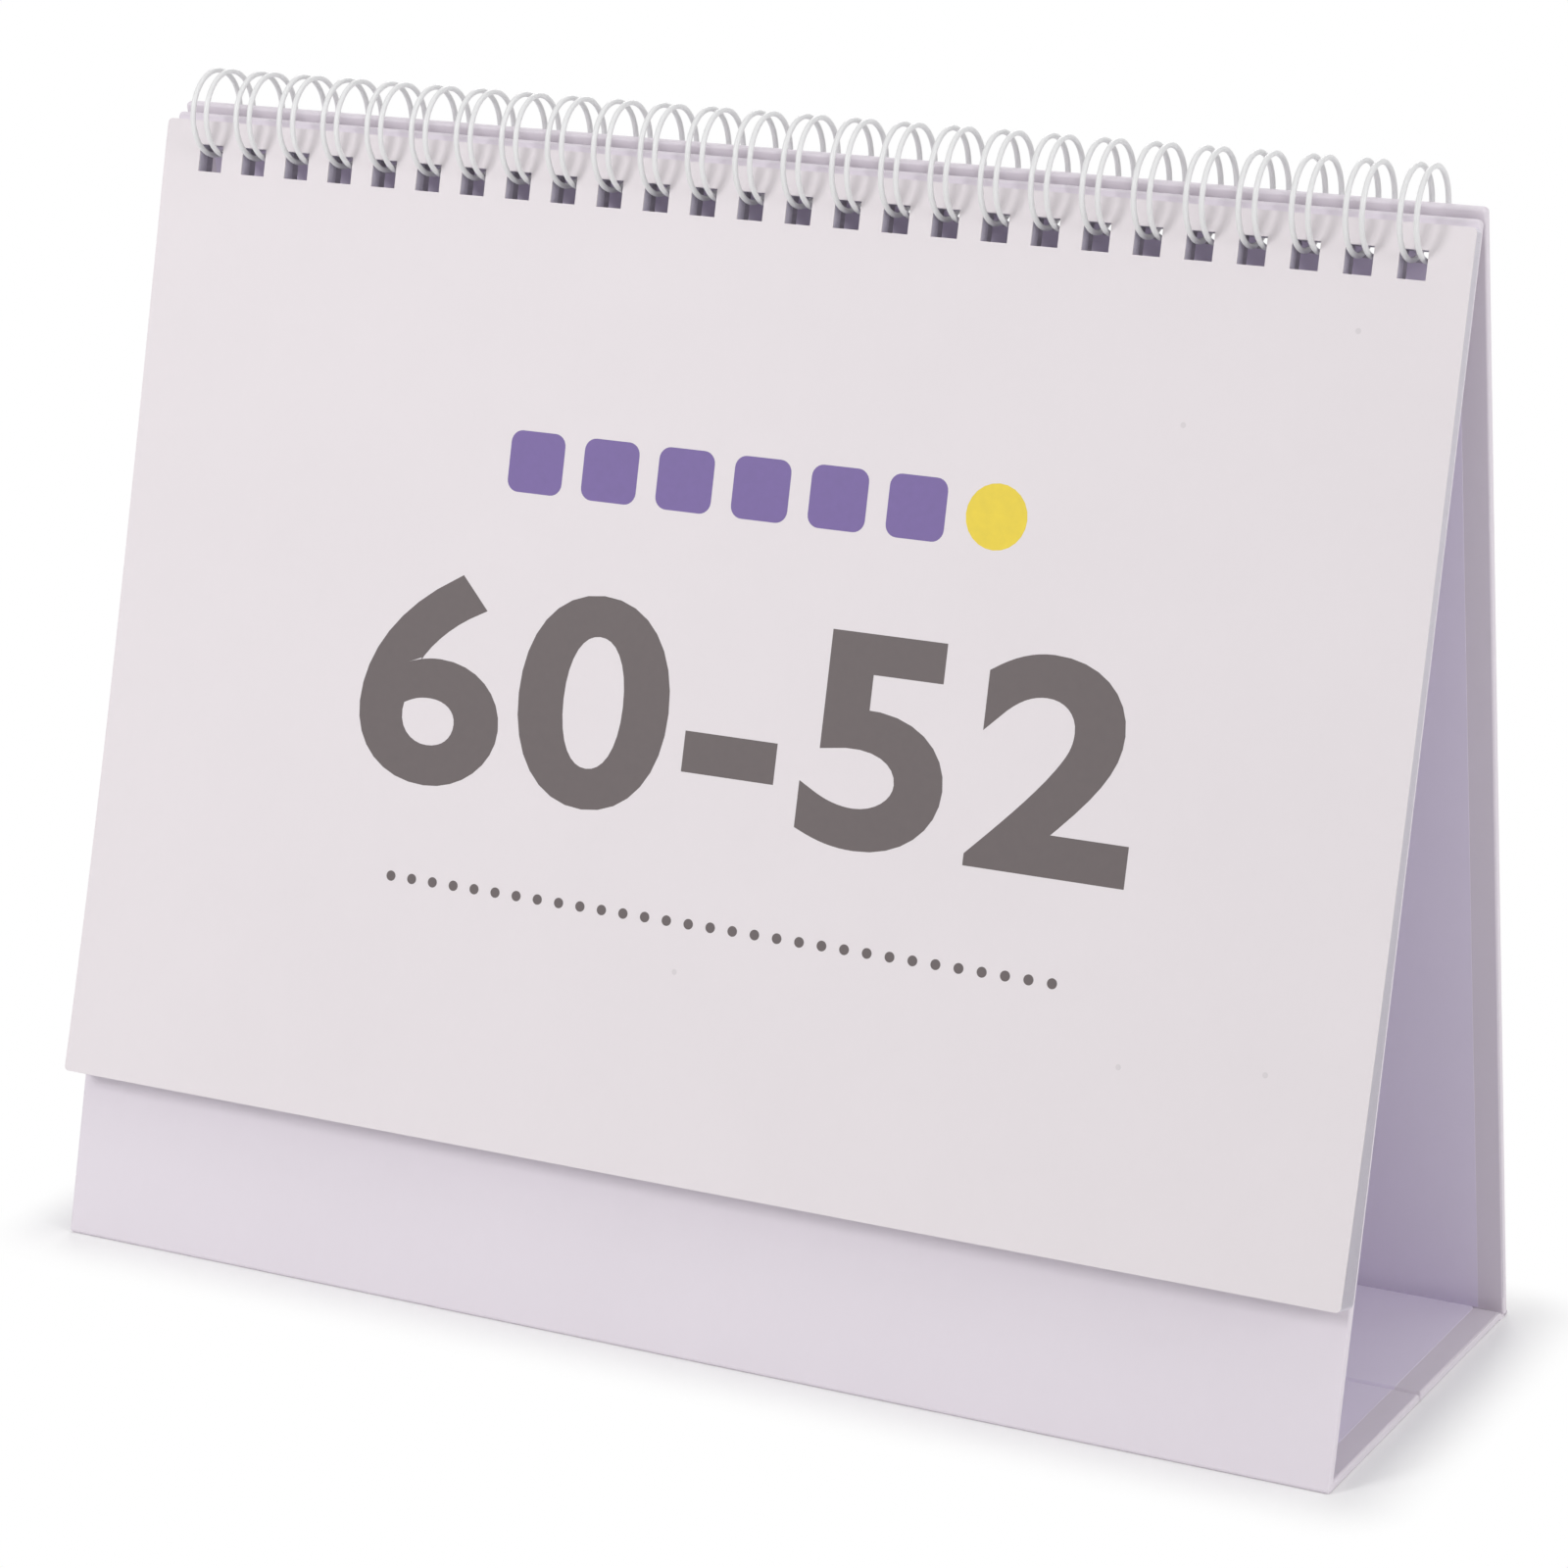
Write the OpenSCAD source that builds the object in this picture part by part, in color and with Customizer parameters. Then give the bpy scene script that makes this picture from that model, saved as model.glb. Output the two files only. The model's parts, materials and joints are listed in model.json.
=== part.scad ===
// Desk calendar: a folding tent stand of paper-covered board, a pad of sheets and a twin-loop wire.
// Millimetres. X runs along the wire, Y from front to back, Z up. The table is at z = 0.

/* [Stand] */
// Width of the boards along the wire
stand_w = 229.5; // [200:0.5:260]
// Depth of the base from the front corner to the rear corner
base_d = 84; // [72:0.5:96]
// Slope length of the front board
front_len = 192; // [170:0.1:220]
// How far the wire's axis lies above the front board's top edge, along the slope
axis_rise = 0.23; // [0:0.01:0.6]
// How far the back board's top edge lies above the level of the wire's axis, along the slope
back_rise = 0.58; // [0:0.01:1.2]
// Distance from the centre plane to each board's outer face, at the height of the wire's axis
top_half = 1.9; // [1.8:0.1:2.6]
// Share of the base that lies in front of the crease
crease_share = 0.486; // [0.47:0.002:0.5]
// Thickness of the greyboard in each panel
core_t = 1.3; // [1:0.1:1.5]
// Thickness of the covering paper
paper_t = 0.15; // [0.1:0.01:0.18]
// Width of the covering paper's turn-in on the inside faces
turn_in = 4.5; // [3:0.5:12]
// Corner radius of the boards
board_r = 0.8; // [0.5:0.1:3]

/* [Folding] */
// Bare paper between a corner line and the greyboard beside it
corner_setback = 3.8; // [3.6:0.1:6]
// Bare paper between the crease and the greyboard beside it
crease_setback = 1.5; // [1:0.1:3]
// Gap from a fold line to the end of each panel's paper
fold_gap = 0.35; // [0.32:0.01:0.5]
// Clearance of the rear edge of the base, where the loop of four panels is opened
rear_gap = 1.7; // [1.5:0.1:2.5]

/* [Pad] */
// How far a sheet stands out past the boards at each side
sheet_overhang = 0.25; // [-2:0.05:1]
// Height of a sheet
sheet_h = 162; // [140:0.5:165]
// Thickness of a calendar leaf
leaf_t = 0.15; // [0.1:0.01:0.16]
// Thickness of the cover sheet
cover_t = 0.25; // [0.15:0.01:0.3]
// Air between one sheet and the next at the wire
leaf_gap = 0.02; // [0.02:0.005:0.03]
// Angle by which the loose cover stands off the board
cover_splay = 1.25; // [0.6:0.05:1.3]
// How far the holes of the sheets and the front board lie below the wire that fills their upper part
hole_sag = 0.8; // [0:0.1:1.2]
// Distance from a sheet's top edge to the middle of its holes
hole_margin = 6.2; // [5.5:0.1:7]
// Corner radius of a sheet
sheet_r = 0.8; // [0.5:0.1:3]

/* [Wire] */
// Number of double loops
loop_count = 26; // [20:2:26]
// Distance from the side of the boards to the middle of the first double loop
loop_margin = 8.925; // [8:0.005:12]
// Radius of a loop to the middle of the wire
loop_r = 7.1; // [7:0.05:7.2]
// Diameter of the coated wire
wire_d = 0.9; // [0.7:0.05:1]
// Distance between the two wires of a double loop
pair_gap = 2.6; // [2.4:0.1:2.7]
// Width and height of a punched hole
hole_size = 4.6; // [4.4:0.1:4.8]

/* [Hidden] */
$fn = 48;
leaf_count = 12;
leaf_names = [for (i = [1 : leaf_count]) str("leaf_", i < 10 ? "0" : "", i)];
panel_t = core_t + 2 * paper_t;
bend_r = pair_gap / 2;
link_r = 0.8;

// Fingertip and root end a 7-24-25 triangle's angle above and below the middle of the seam.
seam_reach = [12, 3.5];
seam_half = atan2(seam_reach.y, seam_reach.x);

// The axis of the wire lies in the plane of the front board's outer face.
// Each board leans from its bottom corner to top_half from the centre plane at that axis.
axis_u = front_len + axis_rise;
tilt = asin((base_d / 2 - top_half) / axis_u);
axis_y = -top_half;
axis_z = axis_u * cos(tilt);
back_axis_v = 2 * top_half * cos(tilt);
back_axis_u = axis_u + 2 * top_half * sin(tilt);
back_len = back_axis_u + back_rise;
crease_y = base_d * crease_share - base_d / 2;
base_front_len = base_d * crease_share;
base_rear_len = base_d - base_front_len;
crease_gap = 0.1;

// The ring of wire crosses the middle of the back board at the centre of its holes.
front_hole_u = axis_u - sqrt(pow(loop_r, 2) - pow(panel_t / 2, 2)) - hole_sag;
back_hole_u = back_axis_u - sqrt(pow(loop_r, 2) - pow(back_axis_v - panel_t / 2, 2));
sheet_hole_u = front_hole_u - axis_u;
sheet_top = sheet_hole_u + hole_margin;
sheet_w = stand_w + 2 * sheet_overhang;

// Distance from one double loop to the next, three to the inch on boards of the first width
pitch_step = 0.002;
loop_pitch = pitch_step * round((stand_w - 2 * loop_margin) / (loop_count - 1) / pitch_step);

// A point of the wire beside the seam: x along the row, and how far it goes on past the loop's end
function seam_point(end, x, along) = [
    x,
    loop_r * cos(seam_half) + along * sin(seam_half),
    end * (loop_r * sin(seam_half) - along * cos(seam_half))];
tip_points = [for (a = [0 : 10 : 180]) seam_point(1, bend_r * cos(a), bend_r * sin(a))];
root_points = [for (a = [0 : 10 : 90], side = [-1, 1])
    seam_point(-1, side * (bend_r + link_r - link_r * cos(a)), link_r * sin(a))];
seam_gap = min([for (tip = tip_points, root = root_points) norm(tip - root)]) - wire_d;
echo(wire_self_gap = min(seam_gap, pair_gap - wire_d));

// Distance of loop i from the middle of the row
function loop_x(i) = (i - (loop_count - 1) / 2) * loop_pitch;

// Board or sheet outline from low to high, with rounded corners at the high end, or at both ends
module outline(w, low, high, r, both = false) {
    low_r = both ? r : 0;
    translate([-w / 2, low + low_r]) square([w, high - low - r - low_r]);
    if (r > 0) {
        translate([r - w / 2, low]) square([w - 2 * r, high - low]);
        for (side = [-1, 1]) {
            translate([side * (w / 2 - r), high - r]) circle(r);
            if (both) translate([side * (w / 2 - r), low + r]) circle(r);
        }
    }
}

// The row of punched holes, centred at height u
module hole_row(u) {
    for (i = [0 : loop_count - 1])
        translate([loop_x(i), u]) square(hole_size, center = true);
}

// Stands a flat shape up: its y becomes z, and it is t thick from the depth v inwards
module stand_up(v, t) {
    translate([0, v + t, 0]) rotate([90, 0, 0]) linear_extrude(t) children();
}

// Greyboard of a panel
module panel_core(low, high, r, hole_u = 0) {
    color("tan") stand_up(paper_t, core_t)
        difference() {
            outline(stand_w - 2 * paper_t, low + paper_t, high - paper_t, r);
            if (hole_u > 0) hole_row(hole_u);
        }
}

// Covering paper: the outer face from paper_low to paper_high, the edges and the turn-ins
module panel_wrap(paper_low, paper_high, low, high, r, hole_u = 0) {
    color("lavenderblush") difference() {
        union() {
            stand_up(0, paper_t) outline(stand_w, paper_low, paper_high, r);
            stand_up(0, panel_t) outline(stand_w, low, high, r);
        }
        stand_up(paper_t, core_t)
            outline(stand_w - 2 * paper_t, low + paper_t, high - paper_t, r);
        stand_up(panel_t / 2, panel_t) panel_window(low, high, r);
        if (hole_u > 0) stand_up(-1, panel_t + 2) hole_row(hole_u);
    }
}

// Lining paper, inside the turn-ins
module panel_liner(low, high, r, hole_u = 0) {
    color("thistle") stand_up(panel_t - paper_t, paper_t)
        difference() {
            panel_window(low, high, r);
            if (hole_u > 0) hole_row(hole_u);
        }
}

// The area of an inside face that the turn-ins leave free
module panel_window(low, high, r) {
    outline(stand_w - 2 * turn_in, low + turn_in, high - turn_in, r);
}

// Places for the panels: local z runs along the panel, and local y into the stand
module front_place() {
    translate([0, -base_d / 2, 0]) rotate([-tilt, 0, 0]) children();
}

module back_place() {
    mirror([0, 1, 0]) front_place() children();
}

module base_front_place() {
    translate([0, crease_y, 0]) rotate([90, 0, 0]) children();
}

module base_rear_place() {
    translate([0, crease_y, 0]) mirror([0, 1, 0]) rotate([90, 0, 0]) children();
}

module front_core() {
    front_place() panel_core(corner_setback, front_len, board_r, front_hole_u);
}

module front_wrap() {
    front_place()
        panel_wrap(fold_gap, front_len, corner_setback, front_len, board_r, front_hole_u);
}

module front_liner() {
    front_place() panel_liner(corner_setback, front_len, board_r, front_hole_u);
}

module back_core() {
    back_place() panel_core(corner_setback, back_len, board_r, back_hole_u);
}

module back_wrap() {
    back_place()
        panel_wrap(fold_gap, back_len, corner_setback, back_len, board_r, back_hole_u);
}

module back_liner() {
    back_place() panel_liner(corner_setback, back_len, board_r, back_hole_u);
}

module base_front_core() {
    base_front_place() panel_core(crease_setback, base_front_len - corner_setback, 0);
}

module base_front_wrap() {
    base_front_place()
        panel_wrap(crease_gap, base_front_len - fold_gap,
                   crease_setback, base_front_len - corner_setback, 0);
}

module base_front_liner() {
    base_front_place() panel_liner(crease_setback, base_front_len - corner_setback, 0);
}

module base_rear_core() {
    base_rear_place() panel_core(crease_setback, base_rear_len - corner_setback, 0);
}

module base_rear_wrap() {
    base_rear_place()
        panel_wrap(crease_gap, base_rear_len - rear_gap,
                   crease_setback, base_rear_len - corner_setback, 0);
}

module base_rear_liner() {
    base_rear_place() panel_liner(crease_setback, base_rear_len - corner_setback, 0);
}

// Sheet number i, where 0 is the cover and leaf_count the leaf that lies on the board
module sheet(i, t) {
    depth = (leaf_count - i) * (leaf_t + leaf_gap) + leaf_gap;
    splay = cover_splay * (leaf_count - i) / leaf_count;
    translate([0, axis_y, axis_z]) rotate([-tilt - splay, 0, 0]) stand_up(-depth - t, t)
        difference() {
            outline(sheet_w, sheet_top - sheet_h, sheet_top, sheet_r, both = true);
            hole_row(sheet_hole_u);
        }
}

module cover_sheet() {
    color("lavenderblush") sheet(0, cover_t);
}

module leaf(i) {
    color("white") sheet(i, leaf_t);
}

// Wire bent to radius r over an angle, starting on local +X
module wire_bend(r, angle) {
    rotate_extrude(angle = angle) translate([r, 0]) circle(d = wire_d, $fn = 24);
}

// Both wires of a double loop, open at the seam, and the fingertip that joins them
module double_loop() {
    difference() {
        for (side = [-1, 1]) translate([0, 0, side * bend_r]) wire_bend(loop_r, 360);
        translate([0, 0, -pair_gap]) linear_extrude(2 * pair_gap)
            polygon([[0, 0], seam_reach, [seam_reach.x, -seam_reach.y]]);
    }
    rotate(seam_half) translate([loop_r, 0, 0]) rotate([0, 90, 0]) rotate(180)
        wire_bend(bend_r, 180);
}

// The link along the row from the root of one double loop to the next
module root_link() {
    start = bend_r + link_r;
    end = loop_pitch - start;
    rotate(-seam_half) translate([loop_r, 0, 0]) {
        translate([0, 0, start]) rotate([0, 90, 0]) wire_bend(link_r, 90);
        translate([0, link_r, start]) cylinder(d = wire_d, h = end - start, $fn = 24);
        translate([0, 0, end]) rotate([0, 90, 0]) rotate(90) wire_bend(link_r, 90);
    }
}

// One length of coated wire, bent into the row of double loops. Its seam lies low behind the back board.
module twin_loop_wire() {
    color("white") for (i = [0 : loop_count - 1])
        translate([loop_x(i), axis_y, axis_z]) rotate([90, 0, 90]) rotate(-seam_half) {
            double_loop();
            if (i < loop_count - 1) root_link();
        }
}

front_core();
front_wrap();
front_liner();
back_core();
back_wrap();
back_liner();
base_front_core();
base_front_wrap();
base_front_liner();
base_rear_core();
base_rear_wrap();
base_rear_liner();
twin_loop_wire();
cover_sheet();
for (i = [1 : leaf_count])
    leaf(i);
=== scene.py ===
"""Dresses a tent-shaped desk calendar: covered boards, paper hinges, linings, wire and print."""

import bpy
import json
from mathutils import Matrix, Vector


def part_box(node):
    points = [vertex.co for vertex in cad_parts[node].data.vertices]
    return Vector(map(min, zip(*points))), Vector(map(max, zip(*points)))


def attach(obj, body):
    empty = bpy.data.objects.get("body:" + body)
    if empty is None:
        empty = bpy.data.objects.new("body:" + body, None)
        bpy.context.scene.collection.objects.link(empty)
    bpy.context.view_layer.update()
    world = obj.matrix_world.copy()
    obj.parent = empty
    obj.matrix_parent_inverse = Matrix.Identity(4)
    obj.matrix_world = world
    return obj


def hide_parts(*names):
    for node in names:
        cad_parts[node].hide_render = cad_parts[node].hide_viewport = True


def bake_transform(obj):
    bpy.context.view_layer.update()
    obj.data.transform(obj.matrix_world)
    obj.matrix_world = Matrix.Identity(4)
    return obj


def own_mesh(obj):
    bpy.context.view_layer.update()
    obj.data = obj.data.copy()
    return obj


bl_info = {
    "name": "Desk Calendar",
    "version": (1, 0, 0),
    "blender": (4, 5, 0),
    "location": "View3D > Sidebar > Calendar",
    "description": "Builds the finish of a desk calendar around its packed solids",
    "category": "Object",
}

import json
import math

import bmesh
import bpy
from bpy.props import FloatProperty, FloatVectorProperty, PointerProperty
from mathutils import Matrix, Vector

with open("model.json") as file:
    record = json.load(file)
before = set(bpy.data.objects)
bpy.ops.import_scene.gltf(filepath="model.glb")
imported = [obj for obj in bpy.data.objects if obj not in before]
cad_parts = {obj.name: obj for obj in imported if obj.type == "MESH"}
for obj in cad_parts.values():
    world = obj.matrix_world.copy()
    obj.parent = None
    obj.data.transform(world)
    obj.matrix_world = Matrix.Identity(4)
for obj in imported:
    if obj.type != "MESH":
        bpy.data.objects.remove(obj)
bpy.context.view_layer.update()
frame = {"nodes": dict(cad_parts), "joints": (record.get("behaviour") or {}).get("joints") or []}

MM = 0.001
FORWARD = Vector((0, -1, 0))
BACKWARD = Vector((0, 1, 0))
JOINTS = {joint["name"]: joint for joint in frame["joints"]}
LEAVES = sorted(name for name in frame["nodes"] if name.startswith("leaf_"))

# Fold lines and the wire's axis, from the joints
WIRE_AXIS = Vector(JOINTS["leaf_01_turn"]["pos_m"])
FRONT_FOLD = Vector(JOINTS["base_fold"]["pos_m"])
CREASE = Vector(JOINTS["base_crease"]["pos_m"])
REAR_FOLD = Vector((0, -FRONT_FOLD.y, 0))
TILT = math.atan2(WIRE_AXIS.y - FRONT_FOLD.y, WIRE_AXIS.z)

# Sizes of the boards and sheets, from the solids
STAND_W = 2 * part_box("front_wrap")[1].x
PANEL_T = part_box("base_front_wrap")[1].z
FRONT_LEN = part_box("front_wrap")[1].z / math.cos(TILT)
BACK_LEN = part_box("back_wrap")[1].z / math.cos(TILT)
SHEET_W = 2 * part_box("cover_sheet")[1].x
PAPER_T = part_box("base_front_liner")[1].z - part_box("base_front_liner")[0].z
TURN_IN = STAND_W / 2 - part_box("base_front_liner")[1].x
CORNER_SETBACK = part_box("base_front_core")[0].y - PAPER_T - FRONT_FOLD.y
CREASE_SETBACK = CREASE.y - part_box("base_front_core")[1].y - PAPER_T
REAR_SETBACK = REAR_FOLD.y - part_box("base_rear_core")[1].y - PAPER_T
REAR_GAP = REAR_FOLD.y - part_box("base_rear_wrap")[1].y

# Where the back board starts along its slope: its inner edge is two papers above the table
BACK_START = (2 * PAPER_T + PANEL_T * math.sin(TILT)) / math.cos(TILT)

# Double loops of the wire
LOOP_COUNT = 26


class CalendarSizes(bpy.types.PropertyGroup):
    """Sizes that the solids leave open"""

    wire_d: FloatProperty(
        name="Wire", description="Diameter of the coated wire", default=0.9 * MM, unit="LENGTH")
    pair_gap: FloatProperty(
        name="Pair", description="Distance between the two wires of a loop",
        default=2.6 * MM, unit="LENGTH")
    link_r: FloatProperty(
        name="Root bend", description="Bend of the wire where a loop meets its link",
        default=0.8 * MM, unit="LENGTH")
    hole: FloatProperty(
        name="Hole", description="Side of a punched hole", default=4.5 * MM, unit="LENGTH")
    hole_sag: FloatProperty(
        name="Sag", description="How far the front board's holes lie below the wire in them",
        default=0.8 * MM, unit="LENGTH")
    rim_r: FloatProperty(
        name="Rim", description="Rounding of a covered board's edge",
        default=0.5 * MM, unit="LENGTH")
    board_r: FloatProperty(
        name="Board corner", description="Corner radius of a board",
        default=0.8 * MM, unit="LENGTH")
    sheet_r: FloatProperty(
        name="Sheet corner", description="Corner radius of a sheet",
        default=0.8 * MM, unit="LENGTH")
    lining_lift: FloatProperty(
        name="Lining", description="How far the lining stands off the turn-in",
        default=0.04 * MM, unit="LENGTH")
    seam: FloatProperty(
        name="Seam", description="Opening of the covering paper along the rear corner",
        default=0.25 * MM, unit="LENGTH")
    corner_dip: FloatProperty(
        name="Rear corner", description="Depth of the hollow along the rear corner",
        default=0.9 * MM, unit="LENGTH")
    crease_dip: FloatProperty(
        name="Crease", description="Depth of the hollow along the crease of the base",
        default=1.0 * MM, unit="LENGTH")
    crease_share: FloatProperty(
        name="Crease width", description="Share of the hinge that the hollow takes up",
        default=0.5, subtype="FACTOR")
    band: FloatProperty(
        name="Band", description="Height of one flat band of a curled sheet",
        default=6 * MM, unit="LENGTH")
    print_lift: FloatProperty(
        name="Print", description="Height of the ink above the paper",
        default=0.012 * MM, unit="LENGTH")


class CalendarColours(bpy.types.PropertyGroup):
    """Colours of paper, wire and ink"""

    cover: FloatVectorProperty(
        name="Cover", description="Pale pink card", subtype="COLOR", default=(0.76, 0.71, 0.735))
    stand: FloatVectorProperty(
        name="Stand", description="Pale lilac covering paper", subtype="COLOR",
        default=(0.76, 0.705, 0.765))
    lining: FloatVectorProperty(
        name="Lining", description="Lavender lining paper", subtype="COLOR",
        default=(0.82, 0.76, 0.89))
    leaf: FloatVectorProperty(
        name="Leaf", description="White calendar paper", subtype="COLOR",
        default=(0.81, 0.775, 0.845))
    board: FloatVectorProperty(
        name="Greyboard", description="Pulp board seen in the punched holes", subtype="COLOR",
        default=(0.50, 0.465, 0.53))
    # Painted shade: a darker colour on the leaves' edges in the punched holes, in place of the
    # shade there
    hole_edge: FloatVectorProperty(
        name="Painted hole shade", description="Shaded edges of the leaves in the punched holes",
        subtype="COLOR", default=(0.62, 0.58, 0.68))
    wire: FloatVectorProperty(
        name="Wire", description="White coating of the wire", subtype="COLOR",
        default=(0.78, 0.78, 0.785))
    grey_ink: FloatVectorProperty(
        name="Grey ink", description="Warm dark grey print", subtype="COLOR",
        default=(0.12, 0.098, 0.10))
    purple_ink: FloatVectorProperty(
        name="Purple ink", description="Violet print", subtype="COLOR",
        default=(0.168, 0.112, 0.32))
    yellow_ink: FloatVectorProperty(
        name="Yellow ink", description="Yellow print", subtype="COLOR",
        default=(0.78, 0.60, 0.045))


class CalendarStage(bpy.types.PropertyGroup):
    """Camera and lights"""

    azimuth: FloatProperty(
        name="Azimuth", description="Camera's turn to the right of the front",
        default=math.radians(26.652), subtype="ANGLE")
    elevation: FloatProperty(
        name="Elevation", description="Camera's angle above the table",
        default=math.radians(15.33), subtype="ANGLE")
    roll: FloatProperty(
        name="Roll", description="Camera's turn about its own line of sight",
        default=math.radians(0.835), subtype="ANGLE")
    distance: FloatProperty(
        name="Distance", description="From the camera to its target",
        default=0.77253, unit="LENGTH")
    target: FloatVectorProperty(
        name="Target", description="Point that the camera circles", subtype="TRANSLATION",
        default=(0, 0, 0.08))
    slide: FloatVectorProperty(
        name="Slide", description="Camera's shift to its own right and up", size=2,
        default=(0.000213, 0.005224), unit="LENGTH")
    lens: FloatProperty(
        name="Lens", description="Focal length in millimetres", default=107.98, unit="CAMERA")
    key: FloatProperty(
        name="Key", description="Power of the key light", default=3.6, unit="POWER")
    fill: FloatProperty(
        name="Fill", description="Power of the fill light", default=16.0, unit="POWER")
    rear: FloatProperty(
        name="Rear", description="Power of the light from behind", default=9.0, unit="POWER")
    top: FloatProperty(
        name="Top", description="Power of the light from above", default=5.0, unit="POWER")
    world: FloatProperty(name="World", description="Strength of the even light", default=0.45)


def sizes():
    """The sizes set in the scene"""
    return bpy.context.scene.calendar_sizes


def colours():
    """The colours set in the scene"""
    return bpy.context.scene.calendar_colours


class Value:
    """A number in a node tree, with the sums that the trees need"""

    def __init__(self, nodes, socket):
        self.nodes = nodes
        self.socket = socket

    def math(self, operation, *terms):
        node = self.nodes.add(
            "ShaderNodeMath", {"operation": operation}, dict(enumerate(terms)))
        return Value(self.nodes, node.outputs[0])

    def __add__(self, other):
        return self.math("ADD", self, other)

    __radd__ = __add__

    def __sub__(self, other):
        return self.math("SUBTRACT", self, other)

    def __rsub__(self, other):
        return self.math("SUBTRACT", other, self)

    def __mul__(self, other):
        return self.math("MULTIPLY", self, other)

    __rmul__ = __mul__

    def __abs__(self):
        return self.math("ABSOLUTE", self)

    def above(self, limit):
        """1 above a limit, 0 elsewhere"""
        return self.math("GREATER_THAN", self, limit)

    def at_least(self, limit):
        return self.math("MAXIMUM", self, limit)

    def root(self):
        return self.math("SQRT", self)


class Nodes:
    """A node tree, built node by node"""

    def __init__(self, tree):
        self.tree = tree
        self.tree.nodes.clear()

    def add(self, kind, settings=None, inputs=None):
        """A node of one kind: its settings first, then the values or links of its sockets"""
        node = self.tree.nodes.new(kind)
        for name, value in (settings or {}).items():
            setattr(node, name, value)
        for key, value in (inputs or {}).items():
            self.put(node.inputs[key], value)
        return node

    def put(self, socket, value):
        """Sets a socket, or links it"""
        if isinstance(value, Value):
            value = value.socket
        if isinstance(value, bpy.types.NodeSocket):
            self.tree.links.new(value, socket)
        else:
            socket.default_value = value


class Paint(Nodes):
    """One material"""

    def __init__(self, name, **shader):
        self.material = bpy.data.materials.new(name)
        self.material.use_nodes = True
        super().__init__(self.material.node_tree)
        self.bsdf = self.add("ShaderNodeBsdfPrincipled", {}, shader)
        self.output = self.add("ShaderNodeOutputMaterial", {}, {0: self.bsdf.outputs[0]})
        self.place = self.add("ShaderNodeTexCoord").outputs["Object"]

    def set(self, name, value):
        self.put(self.bsdf.inputs[name], value)

    def axes(self):
        """The object's x, y and z as sockets"""
        return self.add("ShaderNodeSeparateXYZ", {}, {0: self.place}).outputs

    def noise(self, scale, detail, stretch=(1, 1, 1)):
        place = self.add("ShaderNodeMapping", {}, {"Vector": self.place, "Scale": stretch})
        node = self.add(
            "ShaderNodeTexNoise", {},
            {"Vector": place.outputs[0], "Scale": scale, "Detail": detail})
        return Value(self, node.outputs[0])

    def mix(self, factor, first, second):
        """A colour between two colours"""
        node = self.add(
            "ShaderNodeMix", {"data_type": "RGBA"}, {0: factor, 6: first, 7: second})
        return node.outputs[2]

    def uneven_roughness(self, pattern, middle, span):
        self.set("Roughness", pattern * span + (middle - span / 2))

    def bump(self, height, distance, strength):
        node = self.add(
            "ShaderNodeBump", {},
            {"Height": height, "Distance": distance, "Strength": strength})
        self.set("Normal", node.outputs[0])


def seen_rays(nodes):
    """1 on rays from the camera, straight or by way of a reflection or glass"""
    path = nodes.add("ShaderNodeLightPath")
    seen = Value(nodes, path.outputs["Is Camera Ray"])
    for ray in ("Is Glossy Ray", "Is Transmission Ray"):
        seen = seen.at_least(path.outputs[ray])
    return seen


def opaque(colour, share):
    """An RGBA colour, its brightness scaled by share"""
    return (colour[0] * share, colour[1] * share, colour[2] * share, 1.0)


def flecked(paint, tone, dark, share):
    """A tone with a dust fleck in a share of the pattern's cells"""
    cells_per_metre, fleck_r, depth = 40.0, 0.018, 0.3
    upright = paint.add(
        "ShaderNodeMapping", {}, {"Vector": paint.place, "Rotation": (math.radians(-90), 0, 0)})
    cells = paint.add(
        "ShaderNodeTexVoronoi", {"voronoi_dimensions": "2D"},
        {"Vector": upright.outputs[0], "Scale": cells_per_metre})
    picked = paint.add("ShaderNodeSeparateColor", {}, {0: cells.outputs["Color"]})
    near = 1 - Value(paint, cells.outputs["Distance"])
    rare = Value(paint, picked.outputs[0]).above(1 - share)
    return paint.mix(near.above(1 - fleck_r) * rare * depth, tone, dark)


def edged(paint, tone, dark):
    """A tone that turns dark on a sheet's left and right cut edges: painted shade of the gaps
    between the stacked sheets
    """
    edge_shade_depth = 0.05 * MM
    side = abs(Value(paint, paint.axes()[0]))
    return paint.mix(side.above(SHEET_W / 2 - edge_shade_depth), tone, dark)


def paper_paint(name, colour, roughness, flecks=0.0, edge_shade_share=1.0):
    """Smooth printed stock: cloudy fibre, a faint tooth, a few dust flecks and painted shade on
    the cut edges
    """
    paint = Paint(name)
    cloud = paint.noise(scale=45.0, detail=4.0)
    fibre = paint.noise(scale=900.0, detail=2.0, stretch=(1.0, 1.0, 0.35))
    tooth = paint.noise(scale=2600.0, detail=2.0)
    tone = paint.mix(
        cloud * 0.7 + fibre * 0.3, opaque(colour, share=0.975), opaque(colour, share=1.02))
    if flecks > 0:
        tone = flecked(paint, tone, opaque(colour, share=0.6), flecks)
    # Painted shade: the cut edges are darkened in place of the shade in the gaps between sheets
    if edge_shade_share < 1:
        tone = edged(paint, tone, opaque(colour, edge_shade_share))
    paint.set("Base Color", tone)
    paint.uneven_roughness(fibre, middle=roughness, span=0.12)
    paint.bump(fibre * 0.6 + tooth * 0.4, distance=0.02 * MM, strength=0.35)
    return paint.material


def board_paint(name, colour):
    """Cut edge of pulp board, with darker fibres running along the board"""
    paint = Paint(name, Roughness=0.9)
    layers = paint.noise(scale=1400.0, detail=3.0, stretch=(0.15, 0.15, 1.0))
    paint.set(
        "Base Color",
        paint.mix(layers, opaque(colour, share=0.8), opaque(colour, share=1.15)))
    paint.bump(layers, distance=0.04 * MM, strength=0.6)
    return paint.material


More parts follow.
